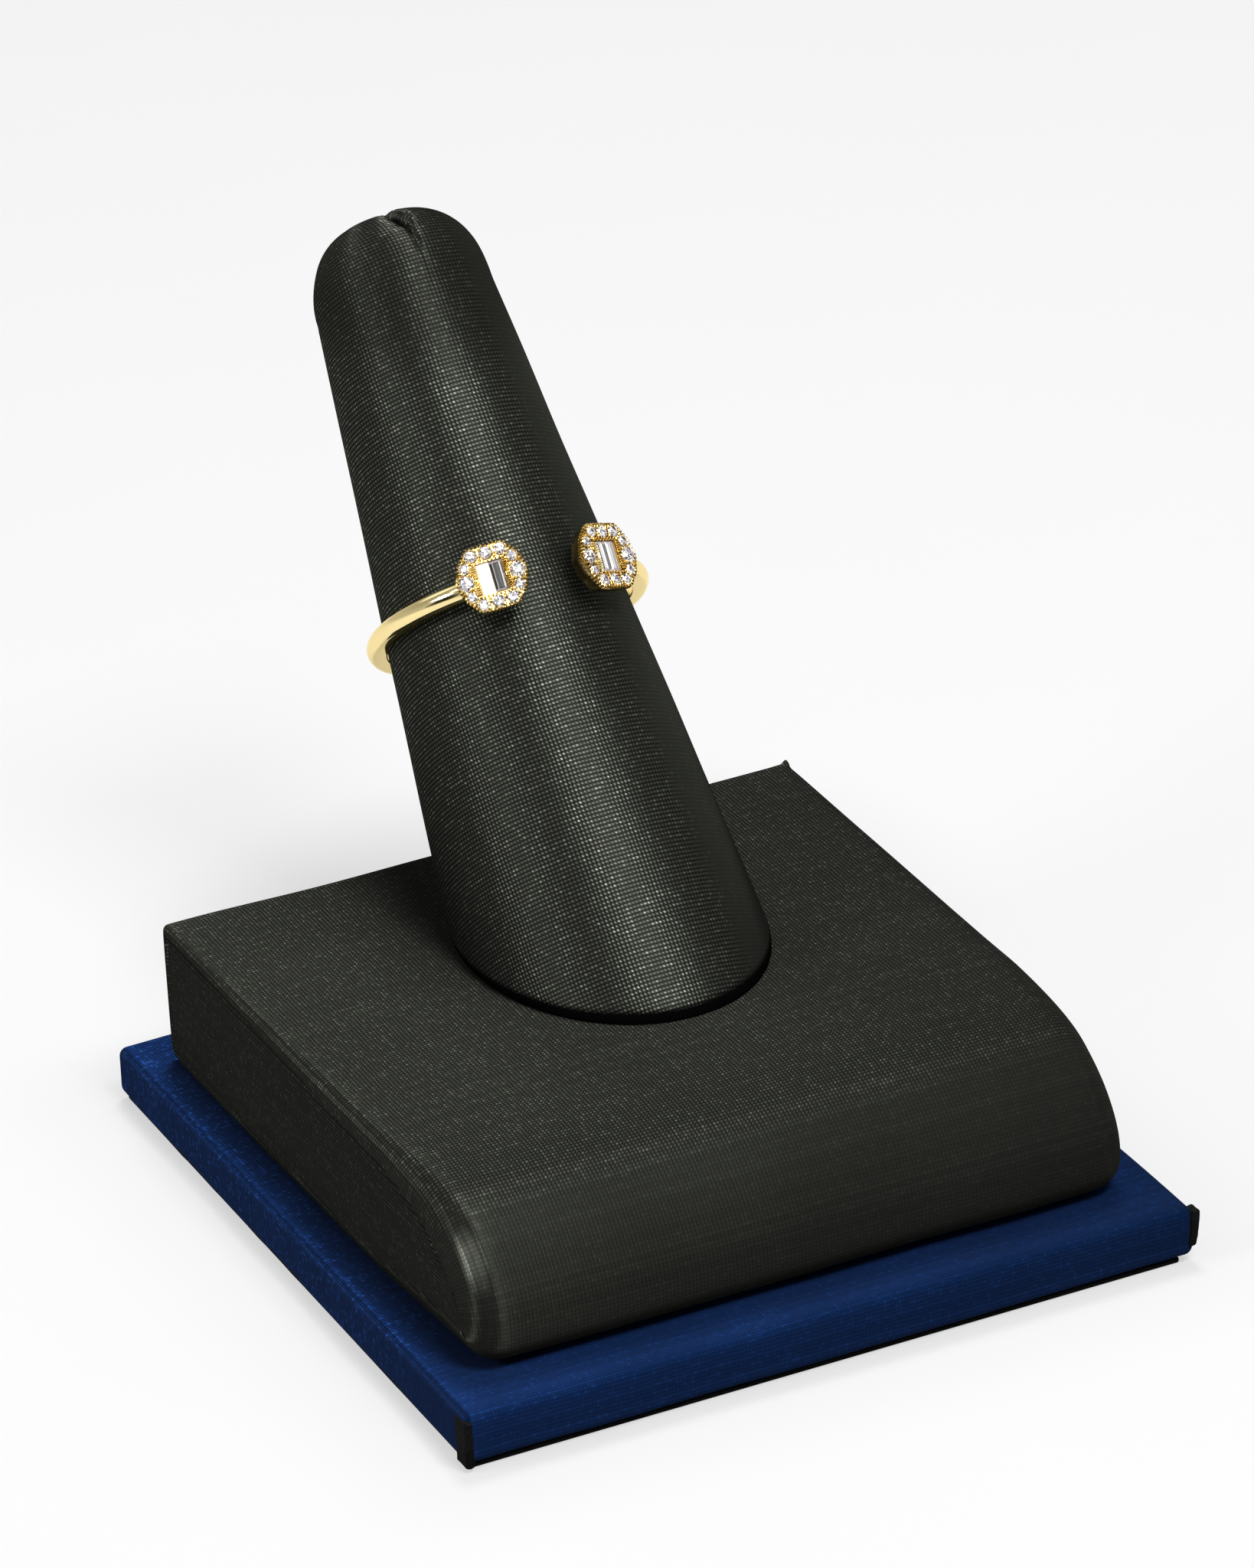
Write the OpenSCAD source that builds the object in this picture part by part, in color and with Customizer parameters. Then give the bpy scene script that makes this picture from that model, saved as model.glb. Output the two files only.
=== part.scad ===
// Open cuff ring with two hexagonal stone clusters, on a slanted finger display stand.
// Millimetres. +Z is up, the ring's opening and the pad's rounded front face -Y.
// The origin is the middle of the base's underside.

/* [Stand] */
// Width of the base board, left to right
board_w = 57; // [54:1:62]
// Depth of the base board, front to back
board_d = 61.6; // [58:0.2:66]
// Thickness of the board without its felt
board_t = 3.9; // [3:0.1:5]
// Thickness of the felt under the board
felt_t = 0.5; // [0.3:0.1:1]
// Width of the pad
pad_w = 51.4; // [48:0.2:53]
// Depth of the pad
pad_d = 53.9; // [50:0.1:57]
// Height of the pad
pad_h = 11.2; // [9:0.1:13]
// Radius of the pad's rounded front
pad_front_r = 9.8; // [6:0.1:10.5]

/* [Finger] */
// How far the finger leans back from upright, in degrees
finger_lean = 37.5; // [25:0.5:45]
// Radius of the finger where its axis meets the pad
finger_r = 11.25; // [10.5:0.05:12]
// How much the radius shrinks for each millimetre along the axis
finger_taper = 0.093; // [0.06:0.001:0.12]
// Length along the axis from the pad to the start of the rounded end
finger_len = 49.2; // [44:0.2:54]
// Height of the rounded end
tip_h = 6.8; // [6:0.1:8]
// Width of the slit where the cloth's edges meet at the tip
slit_w = 0.35; // [0.2:0.05:0.6]

/* [Ring] */
// Distance of the ring's centre up the finger from the pad
ring_up = 24.6; // [22:0.1:28]
// Outer radius of the band
band_outer_r = 10.85; // [10.8:0.05:11]
// Thickness of the band, outside to inside
band_t = 1.4; // [1.2:0.05:1.45]
// Width of the band along the finger
band_w = 1.4; // [1.1:0.05:1.6]
// Half of the angle that the band leaves open; its ends lie under the settings
band_open = 30; // [28:0.5:31]
// Sideways tilt of the ring on the finger, in degrees
ring_tilt_side = 3.3; // [0:0.1:3.4]
// Backward tilt of the ring on the finger, in degrees
ring_tilt_back = 4.5; // [0:0.1:4.6]
// Turn of the opening away from the stand's front, in degrees
ring_turn = 0; // [-10:0.5:10]

/* [Settings] */
// Angle of each setting from the middle of the opening, in degrees
head_angle = 24; // [23:0.1:28]
// Shift of each setting along its own face towards the opening
head_shift = 0.2; // [0:0.05:0.5]
// Distance of the halo stones' girdle plane from the ring's centre
head_out = 11.7; // [11.6:0.05:12]
// Height of the setting's side wall
head_h = 1.5; // [1.3:0.05:1.6]
// How far the setting reaches past its halo stones
head_rim = 0.1; // [0.08:0.01:0.15]

/* [Hidden] */
// One row for each halo stone: place along the band, place across it, diameter
STONES = [
    [-1.11, 1.89, 0.98], [0, 1.89, 1.02], [1.11, 1.89, 0.98],
    [1.79, 1.12, 0.86], [1.95, 0, 1.24], [1.79, -1.12, 0.86],
    [1.11, -1.89, 0.98], [0, -1.89, 1.02], [-1.11, -1.89, 0.98],
    [-1.79, -1.12, 0.86], [-1.95, 0, 1.24], [-1.79, 1.12, 0.86]
];
STONE_COUNT = len(STONES);
SIDES = ["left", "right"];
$fn = 48;

// Small air gap between pieces that rest on each other
seat_gap = 0.1;
board_top = felt_t + board_t;
board_corner_r = 0.8;
board_edge_r = 0.7;
felt_inset = 0.5;
felt_play = 0.02;
// The black strips fill a notch in each front corner of the board
strip_w = 1.1;
strip_play = 0.03;
strip_proud = 0.3;
strip_h = board_t - 0.4;

pad_bottom = board_top + seat_gap;
pad_top = pad_bottom + pad_h;
// Bare board in front of the pad
pad_margin = 3.7;
pad_front_y = pad_margin - board_d / 2;
pad_back_y = pad_front_y + pad_d;
pad_side_r = 0.9;
pad_corner_r = 1.2;
pad_foot_r = 1.2;
// The rounded side edges run on past the pad's front and back
pad_overrun = 2;

finger_x = 1.7;
finger_y = 8.3;
finger_bottom = pad_top + seat_gap;
finger_root = 16;
// A block larger than the finger's foot, which cuts it level with the pad
foot_cutter = 100;
tip_r = finger_r - finger_taper * finger_len;
tip_power = 2.4;
tip_steps = 14;
slit_depth = 1.1;
slit_start = 1.6;
// How far past the middle of the end the slit runs
slit_past = 2;

// The ring hangs slightly to the right on the finger
ring_shift_x = 0.2;
ring_shift_y = -0.1;
band_inner_r = band_outer_r - band_t;
band_dome_r = 0.62 * band_w;

// Halo stones: shares of the diameter
girdle_share = 0.025;
crown_share = 0.15;
pavilion_share = 0.42;
table_share = 0.56;
seat_play = 0.02;
seat_depth = 0.62;
seat_tip = 0.2;
seat_lap = 0.001;
claw_r = 0.13;
claw_top = 0.16;
inner_claw_r = 0.11;
inner_claw_drop = 0.6;
// How far the claws stand out and in from the line between two stones
claw_out = 0.34;
claw_in = 0.36;

// Baguettes, side by side, long side across the band
bag_w = 1.0;
bag_len = 2.42;
bag_split = 0.03;
bag_drop = 0.12;
bag_depth = 0.42;
bag_crown = 0.2;
bag_step = 0.14;
bag_girdle = 0.04;
// Half the width of the keel, and the middle steps' shares of crown and pavilion
bag_keel = 0.03;
bag_mid_crown = 0.6;
bag_mid_depth = 0.45;
bag_mid_step = 1.2;

// A slab with rounded plan corners and rounded long edges, resting on z = 0
module rounded_slab(w, d, h, corner_r, edge_r) {
    intersection() {
        linear_extrude(h) rounded_rect(w, d, corner_r);
        translate([0, d / 2 + 1, 0]) rotate([90, 0, 0]) linear_extrude(d + 2)
            translate([0, h / 2]) rounded_rect(w, h, edge_r);
        translate([-w / 2 - 1, 0, 0]) rotate([90, 0, 90]) linear_extrude(w + 2)
            translate([0, h / 2]) rounded_rect(d, h, edge_r);
    }
}

module rounded_rect(w, d, r) {
    square([w - 2 * r, d], center = true);
    square([w, d - 2 * r], center = true);
    for (sx = [-1, 1]) for (sy = [-1, 1])
        translate([sx * (w / 2 - r), sy * (d / 2 - r)]) circle(r);
}

// A felt sheet cut square, with its corners just inside the board's
module base_underside() {
    color("black")
        linear_extrude(felt_t - felt_play)
            square([board_w - 2 * felt_inset, board_d - 2 * felt_inset], center = true);
}

// The room of a front corner strip: side is -1 at the left corner and 1 at the right one
module corner_room(side, play) {
    reach = 2;
    size = strip_w + play + reach;
    mid = board_w / 2 - strip_w - play + size / 2;
    translate([side * mid, -board_d / 2 + strip_w + play - size / 2, felt_t + strip_h / 2])
        cube([size, size, strip_h + 2 * play], center = true);
}

module base_board() {
    color("midnightblue")
        difference() {
            translate([0, 0, felt_t])
                rounded_slab(board_w, board_d, board_t, board_corner_r, board_edge_r);
            for (side = [-1, 1]) corner_room(side, strip_play);
        }
}

// proud is how far the strip stands out at the board's side
module corner_strip(side, proud) {
    color("black")
        intersection() {
            corner_room(side, 0);
            linear_extrude(board_top) rounded_rect(board_w + 2 * proud, board_d, board_corner_r / 2);
        }
}

// Side view of the pad: flat top, large round front, small round foot
module pad_profile() {
    top_from = pad_front_y + pad_front_r;
    translate([top_from, pad_top - pad_front_r]) circle(pad_front_r, $fn = 96);
    translate([top_from, pad_bottom]) square([pad_back_y - top_from, pad_h]);
    translate([pad_front_y, pad_bottom + pad_foot_r])
        square([pad_front_r, pad_h - pad_front_r - pad_foot_r]);
    translate([pad_front_y + pad_foot_r, pad_bottom]) square([pad_front_r, pad_h - pad_front_r]);
    translate([pad_front_y + pad_foot_r, pad_bottom + pad_foot_r]) circle(pad_foot_r);
}

module pad() {
    pad_mid_y = (pad_front_y + pad_back_y) / 2;
    color("dimgray")
        intersection() {
            translate([-pad_w / 2, 0, 0]) rotate([90, 0, 90]) linear_extrude(pad_w) pad_profile();
            translate([0, pad_mid_y, pad_bottom])
                rounded_slab(pad_w, pad_d + 2 * pad_overrun, pad_h, pad_corner_r, pad_side_r);
            translate([0, pad_mid_y, 0]) linear_extrude(pad_top + 1)
                rounded_rect(pad_w, pad_d, pad_corner_r);
        }
}

// Places its children in the finger's own frame: origin where the axis meets the pad, +Z up the axis
module on_finger() {
    translate([finger_x, finger_y, pad_top]) rotate([-finger_lean, 0, 0]) children();
}

// The blunt end: a superellipse turned about the axis
module finger_tip(r, h) {
    ease = [for (i = [0:tip_steps]) 90 * i / tip_steps];
    rotate_extrude()
        polygon(concat([[0, 0]],
            [for (a = ease) [r * pow(cos(a), 2 / tip_power), h * pow(sin(a), 2 / tip_power)]]));
}

module finger() {
    color("#3c3c3c")
        difference() {
            on_finger() {
                translate([0, 0, -finger_root])
                    cylinder(h = finger_len + finger_root, r1 = finger_r + finger_taper * finger_root,
                        r2 = tip_r);
                translate([0, 0, finger_len]) finger_tip(tip_r, tip_h);
            }
            translate([-foot_cutter / 2, -foot_cutter / 2, finger_bottom - foot_cutter])
                cube(foot_cutter);
            on_finger() translate([0, 0, finger_len]) tip_slit();
        }
}

// A thin slit that runs up the front of the rounded end and over its top
module tip_slit() {
    difference() {
        translate([-slit_w / 2, -2 * tip_r, slit_start]) cube([slit_w, 2 * tip_r + slit_past, tip_h]);
        finger_tip(tip_r - slit_depth, tip_h - slit_depth);
    }
}

// The ring's frame: origin at its centre, the opening towards -Y, +Z towards the finger's tip
module on_ring() {
    on_finger() translate([ring_shift_x, ring_shift_y, ring_up])
        rotate([-ring_tilt_back, ring_tilt_side, 0]) rotate([0, 0, ring_turn]) children();
}

// A setting's frame: x along the band, y across it, z out of the stones' girdle plane
module on_head(side) {
    on_ring() rotate([0, 0, side * head_angle]) translate([-side * head_shift, -head_out, 0])
        rotate([90, 0, 0]) children();
}

module band() {
    inner_w = band_t - band_dome_r;
    on_ring() rotate([0, 0, band_open - 90]) rotate_extrude(angle = 360 - 2 * band_open, $fn = 96) {
        translate([band_inner_r, -band_w / 2]) square([inner_w, band_w]);
        intersection() {
            translate([band_outer_r - band_dome_r, 0]) circle(band_dome_r);
            translate([band_inner_r + inner_w / 2, -band_w / 2]) square([band_t, band_w]);
        }
    }
}

// The setting's outline: a soft hexagon drawn tight round its halo stones
module head_outline() {
    hull()
        for (stone = STONES)
            translate([stone.x, stone.y]) circle(stone[2] / 2 + head_rim, $fn = 32);
}

// Midpoint between a stone and the next one, pushed by out along the outward normal of the pair
function claw_place(i, out) =
    let (p = STONES[i], q = STONES[(i + 1) % STONE_COUNT])
    let (mid = [p.x + q.x, p.y + q.y] / 2, along = [q.x - p.x, q.y - p.y])
    let (normal = [-along.y, along.x] / norm(along))
    mid + normal * out;

module head(side) {
    on_head(side)
        difference() {
            union() {
                translate([0, 0, -head_h]) linear_extrude(head_h) head_outline();
                for (i = [0:STONE_COUNT - 1]) {
                    translate(claw_place(i, claw_out)) translate([0, 0, -head_h])
                        cylinder(h = head_h + claw_top, r = claw_r, $fn = 8);
                    translate(claw_place(i, -claw_in)) translate([0, 0, -inner_claw_drop])
                        cylinder(h = inner_claw_drop + claw_top, r = inner_claw_r, $fn = 8);
                }
            }
            for (stone = STONES) translate([stone.x, stone.y, 0]) seat(stone[2]);
            baguette_pocket();
        }
}

// The tapered seat of a round stone, with a drilled hole under it
module seat(d) {
    r = d / 2 + seat_play;
    translate([0, 0, -seat_depth * d]) cylinder(h = seat_depth * d, r1 = seat_tip * r, r2 = r,
        $fn = 16);
    translate([0, 0, -seat_lap]) cylinder(h = 1, r = r, $fn = 16);
}

module baguette_pocket() {
    pocket_w = 2 * bag_w + bag_split + 2 * seat_play;
    pocket_l = bag_len + 2 * seat_play;
    pocket_floor = -bag_drop - bag_crown - bag_depth - seat_play;
    translate([-pocket_w / 2, -pocket_l / 2, pocket_floor]) cube([pocket_w, pocket_l, 2]);
}

module cuff() {
    color("gold") {
        band();
        for (side = [-1, 1]) head(side);
    }
}

// A round brilliant of diameter 1: 16-sided girdle, eight-sided table, kites, stars and halves
kite_r = 0.4;
kite_z = girdle_share / 2 + crown_share
    * (0.5 - kite_r * cos(22.5)) / (0.5 - table_share / 2);
half_r = 0.13;
half_z = -girdle_share / 2 - pavilion_share * (1 - 2 * half_r * cos(22.5));
T0 = 0;
K0 = 8;
U0 = 16;
L0 = 32;
H0 = 48;
CULET = 56;
brilliant_rings = [
    for (k = [0:7]) [table_share / 2, 45 * k, girdle_share / 2 + crown_share],
    for (k = [0:7]) [kite_r, 45 * k + 22.5, kite_z],
    for (k = [0:15]) [0.5, 22.5 * k, girdle_share / 2],
    for (k = [0:15]) [0.5, 22.5 * k, -girdle_share / 2],
    for (k = [0:7]) [half_r, 45 * k + 22.5, half_z],
    [0, 0, -girdle_share / 2 - pavilion_share]
];
brilliant_faces = concat(
    [[for (k = [7:-1:0]) T0 + k]],
    [for (k = [0:7]) [T0 + k, T0 + (k + 1) % 8, K0 + k]],
    [for (k = [0:7]) [T0 + k, K0 + k, U0 + 2 * k, K0 + (k + 7) % 8]],
    [for (k = [0:7]) [K0 + k, U0 + 2 * k + 1, U0 + 2 * k]],
    [for (k = [0:7]) [K0 + k, U0 + (2 * k + 2) % 16, U0 + 2 * k + 1]],
    [for (k = [0:15]) [U0 + k, U0 + (k + 1) % 16, L0 + (k + 1) % 16, L0 + k]],
    [for (k = [0:7]) [H0 + k, L0 + 2 * k, L0 + 2 * k + 1]],
    [for (k = [0:7]) [H0 + k, L0 + 2 * k + 1, L0 + (2 * k + 2) % 16]],
    [for (k = [0:7]) [CULET, H0 + (k + 7) % 8, L0 + 2 * k, H0 + k]]
);

module brilliant(d) {
    points = [for (p = brilliant_rings) d * [p[0] * cos(p[1]), p[0] * sin(p[1]), p[2]]];
    polyhedron(points = points, faces = brilliant_faces);
}

module stone(side, i) {
    color("#e8f4ff")
        on_head(side) translate([STONES[i].x, STONES[i].y, 0]) brilliant(STONES[i][2]);
}

// A step-cut bar: one row for each level, its inset from the girdle and its height
BAGUETTE_LEVELS = [
    [2 * bag_step, bag_crown], [bag_step, bag_crown * bag_mid_crown], [0, 0], [0, -bag_girdle],
    [bag_step * bag_mid_step, -bag_depth * bag_mid_depth], [bag_w / 2 - bag_keel, -bag_depth]
];

module baguette_shape() {
    last = len(BAGUETTE_LEVELS) - 1;
    points = [for (level = BAGUETTE_LEVELS)
        let (x = bag_w / 2 - level[0], y = bag_len / 2 - level[0])
        for (c = [[1, 1], [-1, 1], [-1, -1], [1, -1]]) [c.x * x, c.y * y, level[1]]];
    sides = [for (k = [0:last - 1]) for (j = [0:3])
        [4 * k + j, 4 * k + (j + 1) % 4, 4 * k + 4 + (j + 1) % 4, 4 * k + 4 + j]];
    faces = concat([[3, 2, 1, 0]], sides, [[for (j = [0:3]) 4 * last + j]]);
    polyhedron(points = points, faces = faces);
}

// place is -1 for the left bar of the pair and 1 for the right one
module baguette(side, place) {
    color("#f4f8ff")
        on_head(side) translate([place * (bag_w + bag_split) / 2, 0, -bag_drop - bag_crown])
            baguette_shape();
}

base_underside();
base_board();
corner_strip(-1, 0);  // corner_left
corner_strip(1, strip_proud);  // corner_right
pad();
finger();
cuff();
for (s = [0, 1]) for (i = [1:2])
    baguette(2 * s - 1, 2 * i - 3);
for (s = [0, 1]) for (i = [1:STONE_COUNT])
    stone(2 * s - 1, i - 1);
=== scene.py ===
"""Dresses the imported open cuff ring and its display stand. Lengths in the code are millimetres."""
import math
import random

import bmesh
import bpy
import numpy as np
from mathutils import Matrix, Vector
from mathutils.geometry import delaunay_2d_cdt


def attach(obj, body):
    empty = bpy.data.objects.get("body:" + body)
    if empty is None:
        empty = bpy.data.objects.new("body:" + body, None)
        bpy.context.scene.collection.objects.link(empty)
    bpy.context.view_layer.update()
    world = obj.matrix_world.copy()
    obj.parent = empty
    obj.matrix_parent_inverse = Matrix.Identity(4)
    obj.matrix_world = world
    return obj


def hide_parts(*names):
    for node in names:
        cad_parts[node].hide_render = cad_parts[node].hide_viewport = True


MM = 0.001
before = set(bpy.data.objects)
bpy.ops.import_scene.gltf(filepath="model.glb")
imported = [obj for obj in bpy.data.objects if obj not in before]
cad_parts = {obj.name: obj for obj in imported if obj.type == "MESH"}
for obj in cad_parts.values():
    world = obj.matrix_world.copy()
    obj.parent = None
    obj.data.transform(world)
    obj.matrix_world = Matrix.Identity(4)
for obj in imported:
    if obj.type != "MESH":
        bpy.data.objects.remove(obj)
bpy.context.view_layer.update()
scene = bpy.context.scene

# Sizes, as in the CAD source
PAD_TOP, PAD_BOTTOM = 15.7, 4.5
PAD_FRONT, PAD_BACK, PAD_HALF = -27.1, 26.8, 25.7
FINGER_X, FINGER_Y, LEAN = 1.7, 8.3, 37.5
FINGER_R, TAPER, FINGER_LEN, TIP_H = 11.25, 0.093, 49.2, 6.8
TIP_R = FINGER_R - TAPER * FINGER_LEN
TIP_POWER = 2.4
RING_SHIFT, RING_UP = (0.2, -0.1), 24.6
BAND_OUTER, BAND_T, BAND_W, BAND_OPEN = 10.85, 1.4, 1.4, 30
TILT_SIDE, TILT_BACK = 3.3, 4.5
HEAD_ANGLE, HEAD_SHIFT, HEAD_OUT, HEAD_H, HEAD_RIM = 24, 0.2, 11.7, 1.5, 0.1
STONES = [
    (-1.11, 1.89, 0.98), (0, 1.89, 1.02), (1.11, 1.89, 0.98),
    (1.79, 1.12, 0.86), (1.95, 0, 1.24), (1.79, -1.12, 0.86),
    (1.11, -1.89, 0.98), (0, -1.89, 1.02), (-1.11, -1.89, 0.98),
    (-1.79, -1.12, 0.86), (-1.95, 0, 1.24), (-1.79, 1.12, 0.86),
]
SIDES = {"left": -1, "right": 1}
BOARD_HALF_X, BOARD_HALF_Y, BOARD_LOW, BOARD_TOP = 28.5, 30.8, 0.5, 4.4


# Transforms
def turn(axis, degrees):
    return np.array(Matrix.Rotation(math.radians(degrees), 4, axis))


def shift(x, y, z):
    return np.array(Matrix.Translation((x, y, z)))


ON_FINGER = shift(FINGER_X, FINGER_Y, PAD_TOP) @ turn("X", -LEAN)
ON_RING = (ON_FINGER @ shift(*RING_SHIFT, RING_UP)
           @ turn("Y", TILT_SIDE) @ turn("X", -TILT_BACK))


def on_head(side):
    return (ON_RING @ turn("Z", side * HEAD_ANGLE)
            @ shift(-side * HEAD_SHIFT, -HEAD_OUT, 0) @ turn("X", 90))


def place(matrix, points):
    points = np.asarray(points, float)
    return points @ matrix[:3, :3].T + matrix[:3, 3]


# Mesh helpers
def make_piece(name, points, faces, uvs=None, sharp=35):
    """A smooth-shaded mesh object from millimetres. uvs has one (u, v) in millimetres a face corner."""
    mesh = bpy.data.meshes.new(name)
    mesh.from_pydata((np.asarray(points, float) * MM).tolist(), [], faces)
    mesh.validate()
    if uvs is not None:
        layer = mesh.uv_layers.new(name="thread")
        layer.data.foreach_set("uv", np.asarray(uvs, np.float32).ravel())
    mesh.polygons.foreach_set("use_smooth", [True] * len(mesh.polygons))
    if sharp:
        mesh.set_sharp_from_angle(angle=math.radians(sharp))
    mesh.update()
    piece = bpy.data.objects.new(name, mesh)
    scene.collection.objects.link(piece)
    return piece


def weld(piece, distance):
    """Joins points that lie on each other, and turns all faces outward."""
    mesh = bmesh.new()
    mesh.from_mesh(piece.data)
    bmesh.ops.remove_doubles(mesh, verts=mesh.verts, dist=distance * MM)
    bmesh.ops.dissolve_degenerate(mesh, edges=mesh.edges, dist=distance * MM)
    bmesh.ops.recalc_face_normals(mesh, faces=mesh.faces)
    mesh.to_mesh(piece.data)
    mesh.free()


def grid_faces(rows, columns, wrap):
    """Faces of a grid of points, and each face's corners as (row, column) with the column not wrapped."""
    faces, corners = [], []
    for j in range(rows - 1):
        for i in range(columns if wrap else columns - 1):
            n = (i + 1) % columns
            faces.append((j * columns + i, j * columns + n, (j + 1) * columns + n, (j + 1) * columns + i))
            corners.append(((j, i), (j, i + 1), (j + 1, i + 1), (j + 1, i)))
    return faces, corners


def arc(centre, radius, start, end, steps):
    """Points along an arc, from the start angle to the end angle."""
    return [(centre[0] + radius * math.cos(math.radians(a)), centre[1] + radius * math.sin(math.radians(a)))
            for a in np.linspace(start, end, steps)]


def spaced(a, b, step):
    """Points between a and b, about step apart, without both ends."""
    count = max(1, round(math.dist(a, b) / step))
    return [tuple(np.array(a) + (np.array(b) - np.array(a)) * k / count) for k in range(1, count)]


class Parts:
    """Collects several small closed shapes into one mesh."""

    def __init__(self):
        self.points, self.faces, self.count = [], [], 0

    def add(self, points, faces):
        self.points.append(np.asarray(points, float))
        self.faces += [tuple(k + self.count for k in f) for f in faces]
        self.count += len(points)

    def piece(self, name, matrix, sharp):
        points = place(matrix, np.concatenate(self.points))
        return make_piece(name, points, self.faces, sharp=sharp)


def tube(path, radii, sides):
    """A closed tube along path. radii has the radius at each of its points."""
    path = np.asarray(path, float)
    tangents = np.gradient(path, axis=0)
    tangents /= np.linalg.norm(tangents, axis=1)[:, None]
    helper = np.array([0.0, 0, 1]) if abs(tangents[0][2]) < 0.8 else np.array([1.0, 0, 0])
    rings = []
    angles = np.arange(sides) * 2 * math.pi / sides
    for p, t, r in zip(path, tangents, radii):
        a = np.cross(helper, t)
        a /= np.linalg.norm(a)
        b = np.cross(t, a)
        rings.append(p + r * (np.outer(np.cos(angles), a) + np.outer(np.sin(angles), b)))
    points = np.concatenate(rings)
    faces, _ = grid_faces(len(path), sides, True)
    faces.append(tuple(range(sides))[::-1])
    faces.append(tuple(range(len(points) - sides, len(points))))
    return points, faces


def capsule(path, radius, sides):
    """A tube whose ends are rounded off."""
    path = np.asarray(path, float)
    first, last = path[0] - path[1], path[-1] - path[-2]
    first, last = first / np.linalg.norm(first), last / np.linalg.norm(last)
    eases = (0.95, 0.7, 0.35)
    head = [path[0] + first * radius * e for e in eases]
    tail = [path[-1] + last * radius * e for e in reversed(eases)]
    cap = [math.sqrt(1 - e * e) for e in eases]
    radii = [radius * c for c in cap] + [radius] * len(path) + [radius * c for c in reversed(cap)]
    return tube(head + list(path) + tail, radii, sides)


def bead(centre, radius, height):
    """A little dome that stands on a short collar, its base below centre."""
    sides, levels = 10, 4
    rings = [(radius, -radius * 1.5)]
    for a in np.linspace(0, math.pi / 2 * 0.85, levels):
        rings.append((radius * math.cos(a), height * math.sin(a)))
    points, angles = [], np.arange(sides) * 2 * math.pi / sides
    for r, z in rings:
        points.append(np.stack([r * np.cos(angles), r * np.sin(angles), np.full(sides, z)], 1))
    points = np.concatenate(points) + np.asarray(centre, float)
    faces, _ = grid_faces(len(rings), sides, True)
    faces.append(tuple(range(len(points) - sides, len(points))))
    faces.append(tuple(range(sides))[::-1])
    return points, faces


def smooth_noise(x, y, seed, scale):
    """Cheap smooth noise from a few sines, from about -1 to 1."""
    rng = random.Random(seed)
    total = np.zeros_like(np.asarray(x, float))
    for _ in range(5):
        angle, phase = rng.uniform(0, 2 * math.pi), rng.uniform(0, 2 * math.pi)
        k = rng.uniform(0.6, 1.5) * 2 * math.pi / scale
        total = total + np.sin(k * (np.cos(angle) * x + np.sin(angle) * y) + phase)
    return total / 3


# Material helpers
class Nodes:
    """Short calls for a material's or world's node tree."""

    def __init__(self, tree):
        self.tree = tree
        self.tree.nodes.clear()

    def new(self, kind, inputs=None, **settings):
        node = self.tree.nodes.new(kind)
        for key, value in settings.items():
            setattr(node, key, value)
        for key, value in (inputs or {}).items():
            if isinstance(value, bpy.types.NodeSocket):
                self.tree.links.new(value, node.inputs[key])
            else:
                node.inputs[key].default_value = value
        return node

    def math(self, operation, a, b=0.0, clamp=False):
        return self.new("ShaderNodeMath", {0: a, 1: b}, operation=operation, use_clamp=clamp).outputs[0]

    def add(self, a, b, clamp=False):
        return self.math("ADD", a, b, clamp)

    def subtract(self, a, b):
        return self.math("SUBTRACT", a, b)

    def multiply(self, a, b, clamp=False):
        return self.math("MULTIPLY", a, b, clamp)

    def vector(self, operation, a, b=(0.0, 0.0, 0.0)):
        node = self.new("ShaderNodeVectorMath", {0: a, 1: b}, operation=operation)
        return node.outputs["Value" if operation in ("LENGTH", "DOT_PRODUCT") else "Vector"]

    def coordinates(self, kind="Object"):
        return self.new("ShaderNodeTexCoord").outputs[kind]

    def noise(self, where, scale, detail, **more):
        inputs = {"Vector": where, "Scale": scale, "Detail": detail, **more}
        return self.new("ShaderNodeTexNoise", inputs).outputs

    def chance(self, dimensions, **where):
        return self.new("ShaderNodeTexWhiteNoise", where, noise_dimensions=dimensions).outputs

    def mix(self, factor, a, b):
        return self.new("ShaderNodeMix", {0: factor, 6: a, 7: b}, data_type="RGBA").outputs[2]

    def ramp(self, value, low, high, to_low=0.0, to_high=1.0):
        inputs = {0: value, 1: low, 2: high, 3: to_low, 4: to_high}
        return self.new("ShaderNodeMapRange", inputs, interpolation_type="SMOOTHSTEP").outputs[0]

    def split(self, vector):
        return self.new("ShaderNodeSeparateXYZ", {0: vector}).outputs

    def join(self, x, y):
        return self.new("ShaderNodeCombineXYZ", {0: x, 1: y}).outputs[0]


def new_material(name):
    material = bpy.data.materials.new(name)
    material.use_nodes = True
    return material, Nodes(material.node_tree)


def finish_material(n, shader):
    """Ends a material with its one shader node."""
    n.new("ShaderNodeOutputMaterial", {"Surface": shader.outputs[0]})


def rgba(r, g, b):
    return (r, g, b, 1.0)


# The spacings of the cloth's net in millimetres, across and along the thread floats
NET_PITCH = (0.289, 0.315)
# A float's light between its bright middles, and the even light where the net has run together
FLOAT_DIM, SATIN_LIGHT = 0.14, 0.18
# The cloth changes between these two places, from a piece's rounded front to its top
FRONT_BEND = (-23.0, -19.0)
# The gloss of the bare ground, and the share of the floats' gloss that is left anyway
GROUND_SHINE, PLAIN_SHINE = 0.055, 0.85
FOOT_BLACK = (0.0008, 0.0008, 0.0008)
POLISH_GAIN = 16.0


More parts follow.
